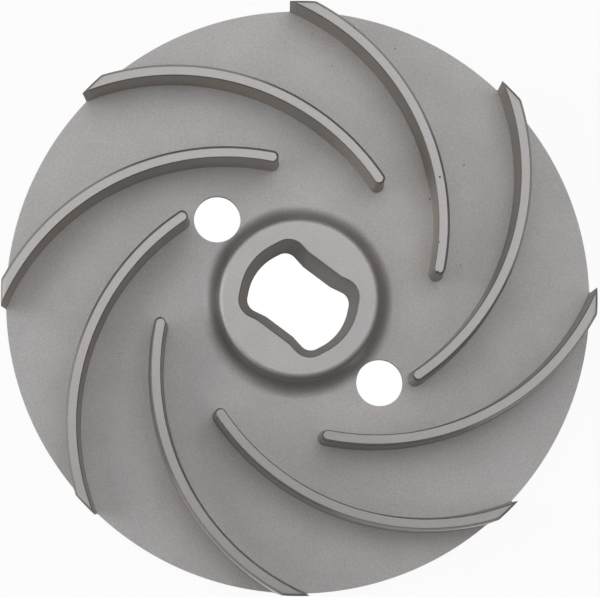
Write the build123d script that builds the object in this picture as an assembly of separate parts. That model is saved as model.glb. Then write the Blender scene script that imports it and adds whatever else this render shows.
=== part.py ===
"""Semi-open pump impeller, one stainless steel investment casting.

Millimetres. The axis is Z, the back face lies on Z = 0 and the vanes stand towards +Z.
X runs along the two flats of the drive bore.
"""
import math
import os

from build123d import *

os.makedirs("parts", exist_ok=True)

# ---- back disc
outer_dia = 150.0            # turned outside diameter of the disc
disc_thickness = 3.5         # back face to front face of the disc

# ---- drive bore: two flats, two arcs and four bulged corners, narrowing towards the back
bore_front = dict(arc_r=15.05, half_flats=10.8, half_flat_length=5.2, corner_r=4.7)
bore_back = dict(arc_r=13.0, half_flats=8.0, half_flat_length=4.3, corner_r=3.2)
bore_arc_half_deg = 25.3     # half angle of each arc, up to where its corner starts
bore_corner_rise_deg = 11.0  # slope of the corner away from the flat
bore_flat_blend_r = 2.0      # blend between a flat and its corner
bore_front_edge = 0.2        # broken edge round the front of the bore

# ---- hub boss
boss_wall = 6.05             # least wall, from the bore's arcs to the boss foot
boss_height = 9.1            # above the disc
boss_draft_deg = 1.5
boss_front_edge_r = 1.8
boss_foot_r = 4.4

# ---- vanes: each one is a plain circular arc in plan, set by its two blade angles
vane_count = 8
vane_inlet_gap = 14.9        # boss foot to the centre of a vane's rounded inner end
vane_inlet_angle = 22.1      # between the vane and the circumference, at its inner end
vane_outlet_angle = 25.4     # the same at the outside diameter
vane_inlet_deg = 2.9         # direction of the first vane's inner end from X
vane_tip_overhang = 0.15     # how far the vane tips stand out past the disc, at their feet
vane_tip_lean_deg = 1.6      # the tips lean outwards, so their fronts stand out further
vane_foot_width = 3.5        # thickness where a vane leaves the disc
vane_draft_deg = 1.0         # mould draft of every vane wall
vane_height_inlet = 18.0     # above the disc, at the inner end
vane_height_tip = 14.4       # above the disc, at the outside diameter
vane_front_edge = 0.45       # broken front edges, one facet each
vane_foot = 0.45             # corner between a vane and the disc, one facet all round

# ---- round holes through the disc, close beside the boss
hole_dia = 12.0
hole_gap = 2.55              # boss foot to the edge of a hole
hole_vane_gap = 1.3          # edge of a hole to the rounded inner end of the vane after it
hole_count = 2

outer_r = outer_dia / 2
tip_r = outer_r + vane_tip_overhang  # of the vane tips, at their feet
disc_front = disc_thickness  # height of the disc's front face
boss_front = disc_front + boss_height
boss_r = bore_front["arc_r"] + boss_wall
vane_inlet_r = boss_r + vane_inlet_gap
hole_centre_r = boss_r + hole_gap + hole_dia / 2
overrun = 4.0                # spare length on a blank before it is cut to size


def vane_arc():
    """Radius of the vane centre line, and the distance from the axis to its centre."""
    inlet_cos = math.cos(math.radians(vane_inlet_angle))
    outlet_cos = math.cos(math.radians(vane_outlet_angle))
    arc_r = (outer_r**2 - vane_inlet_r**2) / (2 * (outer_r * outlet_cos - vane_inlet_r * inlet_cos))
    offset = math.sqrt(arc_r**2 + vane_inlet_r**2 - 2 * arc_r * vane_inlet_r * inlet_cos)
    return arc_r, offset


def vane_point(radius):
    """Where a vane centre line crosses a radius, with its arc centre on the X axis."""
    arc_r, offset = vane_arc()
    turn = -math.acos((radius**2 + offset**2 - arc_r**2) / (2 * radius * offset))
    return Vector(radius * math.cos(turn), radius * math.sin(turn))


def vane_blank(width):
    """One drafted vane with a rounded inner end, too tall and too long."""
    arc_r, offset = vane_arc()
    start = vane_point(vane_inlet_r) - Vector(offset, 0)
    end = vane_point(tip_r + overrun) - Vector(offset, 0)
    start_deg, end_deg = (math.degrees(math.atan2(p.Y, p.X)) for p in (start, end))
    centre_line = CenterArc((offset, 0), arc_r, start_deg, end_deg - start_deg)
    blank = extrude(SlotArc(centre_line, width), vane_height_inlet + overrun, taper=vane_draft_deg)
    inner_end = vane_point(vane_inlet_r)
    turn = vane_inlet_deg - math.degrees(math.atan2(inner_end.Y, inner_end.X))
    return Pos(0, 0, disc_front) * Rot(0, 0, turn) * blank


def at_every_vane(shape):
    """The shape repeated round the axis, once for each vane."""
    return [Rot(0, 0, index * 360 / vane_count) * shape for index in range(vane_count)]


def hole_lead():
    """Angle in degrees from a hole to the vane inner end that follows it."""
    apart = hole_dia / 2 + hole_vane_gap + vane_foot_width / 2
    lead_cos = (hole_centre_r**2 + vane_inlet_r**2 - apart**2) / (2 * hole_centre_r * vane_inlet_r)
    return math.degrees(math.acos(lead_cos))


def front_cutter():
    """The space in front of the turned cone that the vane fronts follow."""
    slope = (vane_height_inlet - vane_height_tip) / (outer_r - vane_inlet_r)
    inner_r = vane_inlet_r - overrun
    beyond_r = outer_r + 3 * overrun
    inner_end = (inner_r, disc_front + vane_height_inlet + slope * overrun)
    outer_end = (beyond_r, disc_front + vane_height_tip - slope * 3 * overrun)
    ceiling = disc_front + vane_height_inlet + 3 * overrun
    section = Polyline(inner_end, outer_end, (beyond_r, ceiling), (inner_r, ceiling), inner_end)
    return revolve(Plane.XZ * make_face(section), Axis.Z)


def bore_outline(arc_r, half_flats, half_flat_length, corner_r):
    """Closed outline of the drive bore at one level."""
    half = math.radians(bore_arc_half_deg)
    rise = math.radians(bore_corner_rise_deg)
    arc_end = Vector(arc_r * math.cos(half), arc_r * math.sin(half))
    arc_dir = Vector(-math.sin(half), math.cos(half))
    flat_end = Vector(half_flat_length, half_flats)
    flat_dir = Vector(math.cos(rise), math.sin(rise))
    gap = flat_end - arc_end
    corner = arc_end + arc_dir * (gap.cross(flat_dir).Z / arc_dir.cross(flat_dir).Z)
    upper = [(p.X, p.Y) for p in (arc_end, corner, flat_end)]
    upper += [(-x, y) for x, y in reversed(upper)]
    lower = [(-x, -y) for x, y in upper]
    left = ThreePointArc(upper[-1], (-arc_r, 0), lower[0])
    right = ThreePointArc(lower[-1], (arc_r, 0), upper[0])
    face = make_face([Polyline(*upper), left, Polyline(*lower), right])
    for point, radius in ((corner, corner_r), (flat_end, bore_flat_blend_r)):
        face = fillet([v for v in face.vertices() if abs(v.center().length - point.length) < 0.01], radius)
    return face


def on_disc_front(shape, inner, outer):
    """Edges that lie in the disc's front face between two radii."""
    found = []
    for edge in shape.edges():
        middle = edge @ 0.5
        flat = abs((edge @ 0).Z - disc_front) < 0.01 and abs(middle.Z - disc_front) < 0.01
        if flat and inner < math.hypot(middle.X, middle.Y) < outer:
            found.append(edge)
    return found


# the cast blank: disc, boss and vanes, all oversize at the outside
disc = extrude(Circle(outer_r + 3 * overrun), disc_thickness)
boss = Pos(0, 0, disc_front) * extrude(Circle(boss_r), boss_height, taper=boss_draft_deg)
boss = fillet(boss.edges().sort_by(Axis.Z)[-1], boss_front_edge_r)
body = disc + boss
body = fillet(on_disc_front(body, 0, boss_r + 1), boss_foot_r)

vane = vane_blank(vane_foot_width) - front_cutter()
vane = chamfer(vane.faces().sort_by(Axis.Z)[-1].edges(), vane_front_edge)
body += at_every_vane(vane)
body = chamfer(on_disc_front(body, boss_r + boss_foot_r + 1, tip_r + 2 * overrun), vane_foot)

# turned to the disc's diameter, up to the top of the vane feet, and to the leaning vane tips
feet_top = disc_front + vane_foot
tips = Pos(0, 0, feet_top) * extrude(Circle(tip_r), vane_height_inlet + overrun, taper=-vane_tip_lean_deg)
body &= extrude(Circle(outer_r), feet_top) + tips

# drive bore and round holes
body -= loft([bore_outline(**bore_back), Pos(0, 0, boss_front) * bore_outline(**bore_front)], ruled=True)
boss_face = body.faces().filter_by_position(Axis.Z, boss_front - 0.01, boss_front + 0.01)[0]
body = chamfer(boss_face.inner_wires()[0].edges(), bore_front_edge)
hole = extrude(Circle(hole_dia / 2), boss_front)
body -= PolarLocations(hole_centre_r, hole_count, start_angle=vane_inlet_deg - hole_lead()) * hole

impeller = body
impeller.label = "impeller"
export_step(impeller, "parts/impeller.step")
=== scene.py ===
import math

import bmesh
import bpy
from mathutils import Matrix, Vector


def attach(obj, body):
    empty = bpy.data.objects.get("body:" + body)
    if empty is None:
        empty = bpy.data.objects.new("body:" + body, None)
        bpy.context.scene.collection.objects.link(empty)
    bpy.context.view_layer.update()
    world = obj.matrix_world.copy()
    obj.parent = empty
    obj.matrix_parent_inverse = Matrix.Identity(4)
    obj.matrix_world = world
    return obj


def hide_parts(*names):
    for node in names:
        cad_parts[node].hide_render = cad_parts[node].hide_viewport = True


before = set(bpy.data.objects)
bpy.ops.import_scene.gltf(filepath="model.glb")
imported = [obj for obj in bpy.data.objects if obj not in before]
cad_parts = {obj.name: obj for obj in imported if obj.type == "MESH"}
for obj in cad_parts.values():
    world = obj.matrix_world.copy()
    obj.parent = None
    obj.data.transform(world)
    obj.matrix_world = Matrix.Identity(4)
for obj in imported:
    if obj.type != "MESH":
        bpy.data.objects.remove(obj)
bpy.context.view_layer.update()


# ---- the impeller ----
# One stainless steel investment casting, blasted all over with fine beads, so it is a warm matt grey.
# Its vane fronts and outside diameter are turned, and are a little brighter and smoother.

# the casting's sizes, in millimetres and degrees
OUTER_R, DISC_FRONT = 75.0, 3.5
BOSS_R, BOSS_HEIGHT, BOSS_DRAFT_DEG, BOSS_EDGE_R, BOSS_FOOT_R = 21.1, 9.1, 1.5, 1.8, 4.4
BORE_FRONT = dict(arc_r=15.05, half_flats=10.8, half_flat_length=5.2, corner_r=4.7)
BORE_BACK = dict(arc_r=13.0, half_flats=8.0, half_flat_length=4.3, corner_r=3.2)
BORE_ARC_HALF_DEG, BORE_CORNER_RISE_DEG, BORE_FLAT_BLEND_R, BORE_EDGE = 25.3, 11.0, 2.0, 0.2
VANES = 8
VANE_ARC_R, VANE_ARC_OFFSET, VANE_ARC_DEG = 62.9304, 32.5292, 136.1946
VANE_INLET_R, VANE_INLET_DEG = 36.0, 2.9
VANE_FOOT_WIDTH, VANE_DRAFT_DEG, VANE_FOOT, VANE_ROOT_INSET = 3.5, 1.0, 0.2, 0.1
VANE_HEIGHT_INLET, VANE_HEIGHT_TIP = 18.0, 14.4
VANE_TIP_R, VANE_TIP_LEAN_DEG = 75.15, 1.6
# a vane's front edge is broken most on the convex side
VANE_EDGE_FAR, VANE_EDGE_NEAR, VANE_EDGE_TIP = 0.62, 0.25, 0.5
HOLE_CENTRE, HOLE_R = (29.3299, -4.3455, 0), 6.0
# small pits and nicks: x, y, z and radius; a pit is a little shallower than half a ball
PITS = ((10.22, 45.44, 20.55, 0.3), (6.84, 45.81, 3.6, 0.4), (11.48, 41.51, 3.6, 0.4),
        (13.17, 53.77, 3.5, 0.28), (27.93, 32.3, 3.5, 0.18), (18.37, 20.11, 3.5, 0.16),
        (-28.55, -38.41, 3.5, 0.22), (-38.54, 57.66, 3.5, 0.32), (-19.22, 67.37, 3.5, 0.22),
        (-29.51, 54.0, 3.5, 0.2), (19.83, 31.84, 21.35, 0.36), (24.2, 25.72, 21.25, 0.38),
        (-29.9, 63.45, 18.1, 0.32))
PIT_RAISE = 0.1

# how finely the curves are divided
RIM_STEPS, HOLE_STEPS = 256, 96
BOSS_FOOT_STEPS, BOSS_EDGE_STEPS = 16, 10
BORE_ARC_STEPS, BORE_CORNER_STEPS, BORE_BLEND_STEPS = 12, 12, 6
SIDE_STEPS, NOSE_STEPS, TIP_STEPS = 48, 16, 4
SMOOTH_DEG = 30

# each finish or painted shade: its darkest and lightest tone, roughness and strength of relief
FINISHES_AND_PAINTED_SHADES = {
    "blasted_stainless": ((0.446, 0.438, 0.435), (0.616, 0.606, 0.603), 0.55, 0.4),
    "turned_stainless": ((0.485, 0.475, 0.471), (0.58, 0.57, 0.565), 0.5, 0.2),
    # the vane walls: the blasted steel a little darker and browner, painted shade
    "wall_painted_shade": ((0.46, 0.427, 0.397), (0.57, 0.532, 0.5), 0.55, 0.3),
    # the broken vane edges: a dark tone, painted shade of edges turned from the light
    "edge_painted_shade": ((0.27, 0.25, 0.235), (0.36, 0.335, 0.315), 0.5, 0.2),
    # the drive bore: smoother relief, and a darker, browner tone that is painted shade in the recess
    "bore_smooth_painted_shade": ((0.345, 0.322, 0.303), (0.41, 0.384, 0.362), 0.5, 0.15),
    "faced_stainless": ((0.5, 0.49, 0.485), (0.65, 0.638, 0.632), 0.55, 0.4),
}
# metres across one bead mark, cloud and stain, and between dark specks
GRAIN_SIZE, CLOUD_SIZE, STAIN_SIZE, SPECK_SPACING = 0.00045, 0.012, 0.028, 0.0045
BEAD_DEPTH = 0.00008
STAIN_TINT = (1.0, 0.984, 0.97)


def outline_part(start, corner, end, radius, steps):
    """Points along the arc that rounds one corner of an outline."""
    back, ahead = (start - corner).normalized(), (end - corner).normalized()
    half = back.angle(ahead) / 2
    centre = corner + (back + ahead).normalized() * (radius / math.sin(half))
    first, last = (corner + way * (radius / math.tan(half)) - centre for way in (back, ahead))
    sweep = first.angle_signed(last)
    return [centre + Matrix.Rotation(-sweep * step / steps, 2) @ first for step in range(steps + 1)]


def bore_outline(arc_r, half_flats, half_flat_length, corner_r):
    """The drive bore's outline at one level: two arcs, four bulged corners, two flats."""
    half, rise = math.radians(BORE_ARC_HALF_DEG), math.radians(BORE_CORNER_RISE_DEG)
    arc_end = Vector((arc_r * math.cos(half), arc_r * math.sin(half)))
    arc_way = Vector((-math.sin(half), math.cos(half)))
    flat_end = Vector((half_flat_length, half_flats))
    flat_way = Vector((math.cos(rise), math.sin(rise)))
    reach = (flat_end - arc_end).cross(flat_way) / arc_way.cross(flat_way)
    corner = arc_end + arc_way * reach
    quarter = []
    for step in range(BORE_ARC_STEPS + 1):
        angle = half * step / BORE_ARC_STEPS
        quarter.append(Vector((arc_r * math.cos(angle), arc_r * math.sin(angle))))
    quarter += outline_part(arc_end, corner, flat_end, corner_r, BORE_CORNER_STEPS)
    quarter += outline_part(corner, flat_end, Vector((0, half_flats)), BORE_FLAT_BLEND_R, BORE_BLEND_STEPS)
    upper = quarter + [Vector((-point.x, point.y)) for point in reversed(quarter)]
    return upper + [-point for point in upper[1:-1]]


def skin(name, rings, strip=0):
    """A closed solid between matching rings of points in millimetres.

    Its two ends are one face each, or for a vane a strip of quads across from side to side."""
    mesh = bpy.data.meshes.new(name)
    work = bmesh.new()
    rows = [[work.verts.new(point * 0.001) for point in ring] for ring in rings]
    for low, high in zip(rows, rows[1:]):
        for index in range(len(low)):
            after = (index + 1) % len(low)
            work.faces.new((low[index], low[after], high[after], high[index]))
    across = 2 * strip + NOSE_STEPS - 2
    for row in (rows[0], rows[-1]):
        if strip:
            for index in range(strip - 1):
                opposite = across - index
                work.faces.new((row[index], row[index + 1], row[opposite - 1], row[opposite]))
            work.faces.new(row[strip - 1:strip + NOSE_STEPS])
            work.faces.new([row[0]] + row[across:])
        else:
            work.faces.new(row)
    bmesh.ops.recalc_face_normals(work, faces=work.faces)
    work.to_mesh(mesh)
    work.free()
    piece = bpy.data.objects.new(name, mesh)
    bpy.context.collection.objects.link(piece)
    return piece


def circle(radius, height, steps=RIM_STEPS):
    """A ring of points round the axis."""
    angles = [math.tau * step / steps for step in range(steps)]
    return [Vector((radius * math.cos(angle), radius * math.sin(angle), height)) for angle in angles]


def disc_and_boss():
    """The turned body: disc, boss foot, drafted boss wall and its rounded front edge."""
    draft, quarter_turn = math.radians(BOSS_DRAFT_DEG), math.radians(90)
    foot_x = BOSS_R + BOSS_FOOT_R * (1 - math.sin(draft)) / math.cos(draft)
    edge_z = DISC_FRONT + BOSS_HEIGHT - BOSS_EDGE_R
    edge_x = BOSS_R - (BOSS_EDGE_R + (edge_z - DISC_FRONT) * math.sin(draft)) / math.cos(draft)
    profile = [(OUTER_R, 0), (OUTER_R, DISC_FRONT)]
    for step in range(BOSS_FOOT_STEPS + 1):
        angle = 3 * quarter_turn - (quarter_turn - draft) * step / BOSS_FOOT_STEPS
        profile.append((foot_x + BOSS_FOOT_R * math.cos(angle), DISC_FRONT + BOSS_FOOT_R * (1 + math.sin(angle))))
    for step in range(BOSS_EDGE_STEPS + 1):
        angle = draft + (quarter_turn - draft) * step / BOSS_EDGE_STEPS
        profile.append((edge_x + BOSS_EDGE_R * math.cos(angle), edge_z + BOSS_EDGE_R * math.sin(angle)))
    return skin("casting_body", [circle(*point) for point in profile])


def swung(angle, reach):
    """A point at a distance from the axis and an angle round it."""
    return Matrix.Rotation(angle, 3, "Z") @ Vector((reach, 0, 0))


def front_height(radius):
    """The height of the conical vane fronts at a radius."""
    share = (radius - VANE_INLET_R) / (OUTER_R - VANE_INLET_R)
    return DISC_FRONT + VANE_HEIGHT_INLET - (VANE_HEIGHT_INLET - VANE_HEIGHT_TIP) * share


def vane(index):
    """One vane: its foot runs into the disc, its walls taper, and its front edges are broken."""
    place = 360 / VANES * index
    centre = swung(math.radians(VANE_ARC_DEG + place), VANE_ARC_OFFSET)
    inner_end = swung(math.radians(VANE_INLET_DEG + place), VANE_INLET_R)
    arm = inner_end - centre
    toward = math.atan2(-centre.y, -centre.x)
    first = math.atan2(arm.y, arm.x)

    def end_swing(reach, limit):
        """The swing round the arc centre at which a side of the vane comes out to a radius."""
        inside = (VANE_ARC_OFFSET**2 + reach**2 - limit**2) / (2 * VANE_ARC_OFFSET * reach)
        return (toward + math.acos(inside) - first) % math.tau

    def ring(far, near, limit, height=None, drop=0):
        """The outline, so far out on the convex side and so near on the hollow one.

        It lies at a height, or else a drop below the conical front, and ends at a limiting radius."""
        sides = []
        for reach in (VANE_ARC_R + far, VANE_ARC_R - near):
            swing = end_swing(reach, limit)
            sides.append([centre + swung(first + swing * step / SIDE_STEPS, reach) for step in range(SIDE_STEPS + 1)])
        outer, inner = sides
        outward = arm.normalized()
        middle, half_width = inner_end + outward * (far - near) / 2, (far + near) / 2
        nose = []
        for step in range(1, NOSE_STEPS):
            nose.append(middle + Matrix.Rotation(-math.pi * step / NOSE_STEPS, 3, "Z") @ (outward * half_width))
        tip = []
        for step in range(1, TIP_STEPS):
            chord = inner[-1].lerp(outer[-1], step / TIP_STEPS)
            tip.append(chord * (limit / chord.length))
        points = outer[::-1] + nose + inner + tip
        for point in points:
            point.z = front_height(point.xy.length) - drop if height is None else height
        return points

    tall = (VANE_HEIGHT_INLET + VANE_HEIGHT_TIP) / 2
    foot = VANE_FOOT_WIDTH / 2
    top = foot - tall * math.tan(math.radians(VANE_DRAFT_DEG))
    tip_top = VANE_TIP_R + (tall - VANE_FOOT) * math.tan(math.radians(VANE_TIP_LEAN_DEG))
    root = foot + 2 * VANE_FOOT
    rings = [ring(root, root, OUTER_R - VANE_ROOT_INSET, height=DISC_FRONT - VANE_FOOT),
             ring(foot, foot, VANE_TIP_R, height=DISC_FRONT + VANE_FOOT),
             ring(top, top, tip_top, drop=VANE_EDGE_FAR),
             ring(top - 0.5 * VANE_EDGE_FAR, top - 0.2 * VANE_EDGE_NEAR, tip_top, drop=0.35 * VANE_EDGE_FAR),
             ring(top - VANE_EDGE_FAR, top - VANE_EDGE_NEAR, tip_top - VANE_EDGE_TIP)]
    return skin("vane", rings, strip=SIDE_STEPS + 1)


def bore_cutter():
    """The drive bore with its broken front edge, reaching past both faces."""
    back, front = bore_outline(**BORE_BACK), bore_outline(**BORE_FRONT)
    top = DISC_FRONT + BOSS_HEIGHT

    def level(height, wider):
        """The outline at a height, set out by a distance all round."""
        points = [low.lerp(high, height / top) for low, high in zip(back, front)]
        ring = []
        for index, point in enumerate(points):
            way = points[(index + 1) % len(points)] - points[index - 1]
            ring.append(Vector((*(point + Vector((way.y, -way.x)).normalized() * wider), height)))
        return ring

    return skin("bore", [level(-1.5, 0), level(top - BORE_EDGE, 0), level(top + 1, BORE_EDGE + 1)])


def hole_cutter(side):
    """One round hole, on one side of the axis or the other, reaching past both faces."""
    centre = Vector(HOLE_CENTRE) * side
    return skin("hole", [[point + centre for point in circle(HOLE_R, height, HOLE_STEPS)] for height in (-1, 10)])


def pit_cutter():
    """All the pits, as small balls on the surface."""
    balls = bmesh.new()
    for x, y, z, radius in PITS:
        place = Matrix.Translation(Vector((x, y, z + PIT_RAISE * radius)) * 0.001)
        bmesh.ops.create_icosphere(balls, subdivisions=2, radius=radius * 0.001, matrix=place)
    mesh = bpy.data.meshes.new("pits")
    balls.to_mesh(mesh)
    balls.free()
    pits = bpy.data.objects.new("pits", mesh)
    bpy.context.collection.objects.link(pits)
    return pits


def join(pieces):
    """Several pieces joined into the first."""
    bpy.ops.object.select_all(action="DESELECT")
    for piece in pieces:
        piece.select_set(True)
    bpy.context.view_layer.objects.active = pieces[0]
    bpy.ops.object.join()
    return pieces[0]


def combine(body, other, operation):
    """The body with the other solid added or cut away."""
    change = body.modifiers.new("change", "BOOLEAN")
    change.operation = operation
    change.object = other
    change.solver = "EXACT"
    bpy.ops.object.select_all(action="DESELECT")
    body.select_set(True)
    bpy.context.view_layer.objects.active = body
    bpy.ops.object.modifier_apply(modifier="change")
    bpy.data.objects.remove(other)


def blasted_casting():
    """The whole casting as one closed, smooth-shaded mesh."""
    casting = disc_and_boss()
    combine(casting, join([vane(index) for index in range(VANES)]), "UNION")
    combine(casting, join([bore_cutter(), hole_cutter(1), hole_cutter(-1)]), "DIFFERENCE")
    combine(casting, pit_cutter(), "DIFFERENCE")
    casting.name = casting.data.name = "blasted_casting"
    bpy.ops.object.shade_smooth_by_angle(angle=math.radians(SMOOTH_DEG))
    smooth = casting.modifiers.new("even_facets", "WEIGHTED_NORMAL")
    smooth.keep_sharp = True
    smooth.weight = 100
    bpy.ops.object.modifier_apply(modifier="even_facets")
    return casting


def finish_or_painted_shade_of(face):
    """The finish or painted shade of one face, told by its distance from the axis, its height and how level it is."""
    radius, height, level = face.center.xy.length * 1000, face.center.z * 1000, abs(face.normal.z)
    if (height > 15 and level > 0.95) or (radius > 74.7 and level < 0.5):     # vane fronts, rim and tips
        return "turned_stainless"
    # a vane's broken edge takes a dark tone, painted shade
    if height > 15 and level > 0.12:                                          # a vane's broken edge
        return "edge_painted_shade"
    # a wall of a vane takes the darker, browner tone, painted shade
    if height > 3.55 and level < 0.9 and radius > 33:                         # a wall of a vane
        return "wall_painted_shade"
    # the drive bore takes the smoother finish and the darker tone of painted shade
    if level < 0.9 and radius < 17.8:
        return "bore_smooth_painted_shade"
    if (height > 10 and level > 0.99) or (height < 3.4 and level < 0.5 and 20 < radius < 37):
        return "faced_stainless"                                              # boss front and round holes
    return "blasted_stainless"


def new_node(tree, kind, at, **settings):
    """A node at a place in the tree, with its settings; names with capitals are input sockets."""
    node = tree.nodes.new(kind)
    node.location = at
    for name, value in settings.items():
        if name[0].isupper():
            node.inputs[name.replace("_", " ")].default_value = value
        else:
            setattr(node, name, value)
    return node


def worked_out(tree, at, operation, first, second):
    """The socket of a Math node that two sockets feed."""
    node = new_node(tree, "ShaderNodeMath", at, operation=operation)
    tree.links.new(first, node.inputs[0])
    tree.links.new(second, node.inputs[1])
    return node.outputs[0]


def mapped(tree, at, source, start, end, low, high):
    """The socket of a Map Range node: low where the source is at start, high where it is at end."""
    node = new_node(tree, "ShaderNodeMapRange", at, From_Min=start, From_Max=end, To_Min=low, To_Max=high)
    tree.links.new(source, node.inputs["Value"])
    return node.outputs["Result"]


impeller = blasted_casting()

# bead marks, slow clouds, sparse dark specks and faint stains, for every surface of the casting
marks = bpy.data.node_groups.new("bead_marks", "ShaderNodeTree")
for name in ("Tone", "Height", "Stain"):
    marks.interface.new_socket(name, in_out="OUTPUT", socket_type="NodeSocketFloat")
place = new_node(marks, "ShaderNodeTexCoord", (-1400, 0))
grain = new_node(marks, "ShaderNodeTexNoise", (-1100, 300), Scale=1 / GRAIN_SIZE, Detail=2.0, Roughness=0.6)
cloud = new_node(marks, "ShaderNodeTexNoise", (-1100, 0), Scale=1 / CLOUD_SIZE, Detail=4.0, Roughness=0.55)
speck = new_node(marks, "ShaderNodeTexVoronoi", (-1100, -300), Scale=1 / SPECK_SPACING)
stain = new_node(marks, "ShaderNodeTexNoise", (-1100, -600), Scale=1 / STAIN_SIZE, Detail=2.0, Roughness=0.5)
for texture in (grain, cloud, speck, stain):
    marks.links.new(place.outputs["Object"], texture.inputs["Vector"])
grain_tone = mapped(marks, (-850, 300), grain.outputs["Fac"], 0.25, 0.75, 0.0, 0.75)
cloud_tone = mapped(marks, (-850, 0), cloud.outputs["Fac"], 0.3, 0.7, 0.0, 0.25)
speck_tone = mapped(marks, (-850, -300), speck.outputs["Distance"], 0.02, 0.055, 0.55, 0.0)
stain_mask = mapped(marks, (-850, -600), stain.outputs["Fac"], 0.4, 0.65, 0.0, 1.0)
clouded = worked_out(marks, (-600, 200), "ADD", grain_tone, cloud_tone)
specked = worked_out(marks, (-400, 100), "SUBTRACT", clouded, speck_tone)
out = new_node(marks, "NodeGroupOutput", (-100, 100))
marks.links.new(specked, out.inputs["Tone"])
marks.links.new(grain.outputs["Fac"], out.inputs["Height"])
marks.links.new(stain_mask, out.inputs["Stain"])

impeller.data.materials.clear()
for name, (dark, light, rough, relief) in FINISHES_AND_PAINTED_SHADES.items():
    steel = bpy.data.materials.new(name)
    steel.use_nodes = True
    tree = steel.node_tree
    tree.nodes.clear()
    beads = new_node(tree, "ShaderNodeGroup", (-800, 100), node_tree=marks)
    colour = new_node(tree, "ShaderNodeMix", (-500, 200), data_type="RGBA")
    colour.inputs[6].default_value = (*dark, 1)
    colour.inputs[7].default_value = (*light, 1)
    tree.links.new(beads.outputs["Tone"], colour.inputs["Factor"])
    warmed = new_node(tree, "ShaderNodeMix", (-350, 200), data_type="RGBA", blend_type="MULTIPLY")
    warmed.inputs[7].default_value = (*STAIN_TINT, 1)
    tree.links.new(beads.outputs["Stain"], warmed.inputs["Factor"])
    tree.links.new(colour.outputs[2], warmed.inputs[6])
    bump = new_node(tree, "ShaderNodeBump", (-500, -200), Strength=relief, Distance=BEAD_DEPTH)
    tree.links.new(beads.outputs["Height"], bump.inputs["Height"])
    surface = new_node(tree, "ShaderNodeBsdfPrincipled", (-200, 100), Metallic=1.0, Roughness=rough)
    tree.links.new(warmed.outputs[2], surface.inputs["Base Color"])
    tree.links.new(bump.outputs["Normal"], surface.inputs["Normal"])
    out = new_node(tree, "ShaderNodeOutputMaterial", (100, 100))
    tree.links.new(surface.outputs[0], out.inputs["Surface"])
    impeller.data.materials.append(steel)
for face in impeller.data.polygons:
    face.material_index = impeller.data.materials.find(finish_or_painted_shade_of(face))

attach(impeller, "root")
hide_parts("impeller")


# ---- floor ----
# A white table top that glows for the camera. Under the casting's openings it glows wholly white, painted light where
# the casting's shade would fall, and round the casting it keeps a faint shadow. The metal mirrors its white only from
# beyond the rim.
FLOOR_SIZE, FLOOR_DROP, FLOOR_WHITE = 8, 0.0001, (0.85, 0.85, 0.85, 1)
# metres from the axis
MIRRORED_FROM, MIRRORED_BEYOND = 0.05, 0.09
WHOLE_GLOW_TO, PART_GLOW_FROM, PART_GLOW = 0.036, 0.044, 0.94


def shown_white(tree, mirrored_white):
    """A mask of the rays that see white: the camera's, those through glass, and mirrored ones by another mask."""
    rays = new_node(tree, "ShaderNodeLightPath", (-1000, 300))
    seen = worked_out(tree, (-800, 300), "MAXIMUM", rays.outputs["Is Camera Ray"], rays.outputs["Is Transmission Ray"])
    mirrored = worked_out(tree, (-700, 0), "MULTIPLY", rays.outputs["Is Glossy Ray"], mirrored_white)
    return worked_out(tree, (-500, 300), "MAXIMUM", seen, mirrored)


def mix_to_output(tree, share, first, second, output_kind):
    """Two shaders mixed by a share, and joined to the tree's output."""
    both = new_node(tree, "ShaderNodeMixShader", (-100, 100))
    tree.links.new(share, both.inputs[0])
    tree.links.new(first.outputs[0], both.inputs[1])
    tree.links.new(second.outputs[0], both.inputs[2])
    out = new_node(tree, output_kind, (150, 100))
    tree.links.new(both.outputs[0], out.inputs["Surface"])


bpy.ops.mesh.primitive_plane_add(size=FLOOR_SIZE, location=(0, 0, -FLOOR_DROP))
floor = bpy.context.active_object
floor.name = "floor"
floor_white = bpy.data.materials.new("white_table")
floor_white.use_nodes = True
tree = floor_white.node_tree
tree.nodes.clear()
place = new_node(tree, "ShaderNodeTexCoord", (-1300, 0))
away = new_node(tree, "ShaderNodeVectorMath", (-1100, 0), operation="LENGTH")
tree.links.new(place.outputs["Object"], away.inputs[0])
outside = mapped(tree, (-900, -100), away.outputs["Value"], MIRRORED_FROM, MIRRORED_BEYOND, 0.0, 1.0)
# painted light: near the axis the floor glows wholly white, hiding the casting's shade seen through its openings
whiteness = mapped(tree, (-700, 200), away.outputs["Value"], WHOLE_GLOW_TO, PART_GLOW_FROM, 1.0, PART_GLOW)
share = worked_out(tree, (-300, 300), "MULTIPLY", shown_white(tree, outside), whiteness)
matt = new_node(tree, "ShaderNodeBsdfDiffuse", (-400, 0), Color=FLOOR_WHITE)
glow = new_node(tree, "ShaderNodeEmission", (-400, -200), Color=(1, 1, 1, 1), Strength=1.0)
mix_to_output(tree, share, matt, glow, "ShaderNodeOutputMaterial")
floor.data.materials.append(floor_white)


# ---- light ----
# Three round soft boxes above the table, the strongest on the picture's left, in a dim grey room.
# The metal mirrors a white room near the horizon.
SOFT_BOXES = {
    "left_box": ((-0.4907, -0.3671, 0.5142), 2.39),
    "back_box": ((-0.2025, 0.2707, 0.725), 1.14),
    "right_box": ((0.2707, 0.2025, 0.725), 0.89),
}
SOFT_BOX_SIZE = 0.7
ROOM_GREY = (0.175, 0.175, 0.178, 1)
HORIZON_FROM, HORIZON_BEYOND = 0.05, 0.1

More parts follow.
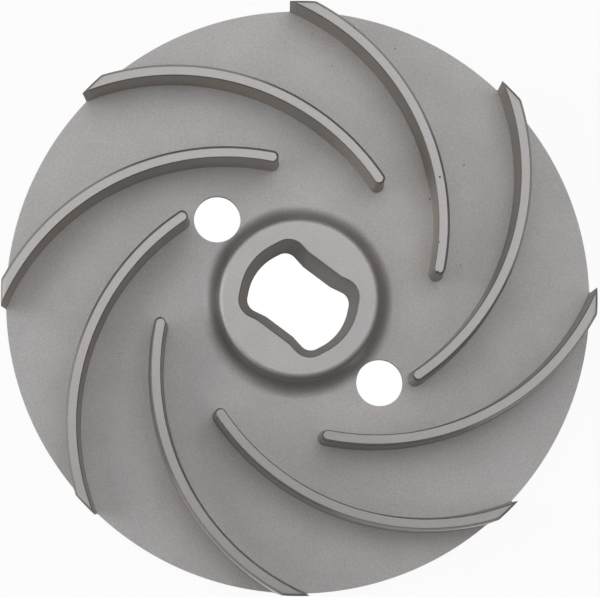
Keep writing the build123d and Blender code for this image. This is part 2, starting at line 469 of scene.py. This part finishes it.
for name, (place, power) in SOFT_BOXES.items():
    bpy.ops.object.light_add(type="AREA", location=place)
    soft_box = bpy.context.active_object
    soft_box.name = name
    soft_box.data.shape = "DISK"
    soft_box.data.size = SOFT_BOX_SIZE
    soft_box.data.energy = power
    soft_box.rotation_euler = (-Vector(place)).to_track_quat("-Z", "Y").to_euler()

room = bpy.data.worlds.new("grey_room")
bpy.context.scene.world = room
room.use_nodes = True
tree = room.node_tree
tree.nodes.clear()
place = new_node(tree, "ShaderNodeTexCoord", (-1400, 0))
parts = new_node(tree, "ShaderNodeSeparateXYZ", (-1200, 0))
tree.links.new(place.outputs["Generated"], parts.inputs[0])
horizon = mapped(tree, (-1000, 0), parts.outputs["Z"], HORIZON_FROM, HORIZON_BEYOND, 1.0, 0.0)
dim = new_node(tree, "ShaderNodeBackground", (-400, 0), Color=ROOM_GREY, Strength=1.0)
white = new_node(tree, "ShaderNodeBackground", (-400, -200), Color=(1, 1, 1, 1), Strength=1.0)
mix_to_output(tree, shown_white(tree, horizon), dim, white, "ShaderNodeOutputWorld")


# ---- camera ----
# Almost straight above the vanes, nearly a metre away, leaning 4.7 degrees.
CAMERA_LEAN = (-4.4164, 1.5157)        # degrees about the picture's X and Y
CAMERA_TURN = -36.8                    # degrees, the casting's X in the picture
CAMERA_SHIFT = (-0.0004253, -0.0006040)
CAMERA_AWAY = 0.95557
CAMERA_LENS, CAMERA_FILM = 223.085, 36
AIM_HEIGHT = 0.0035

lean_x, lean_y, turn = (math.radians(angle) for angle in (*CAMERA_LEAN, CAMERA_TURN))
leaning = Matrix.Rotation(lean_x, 4, "X") @ Matrix.Rotation(lean_y, 4, "Y") @ Matrix.Rotation(turn, 4, "Z")
to_camera = Matrix.Translation((*CAMERA_SHIFT, -CAMERA_AWAY)) @ leaning @ Matrix.Translation((0, 0, -AIM_HEIGHT))
bpy.ops.object.camera_add()
camera = bpy.context.active_object
camera.name = "camera"
camera.matrix_world = to_camera.inverted()
camera.data.sensor_width = CAMERA_FILM
camera.data.lens = CAMERA_LENS
camera.data.clip_start = 0.05
camera.data.clip_end = 20
bpy.context.scene.camera = camera
bpy.context.scene.view_settings.view_transform = "Standard"
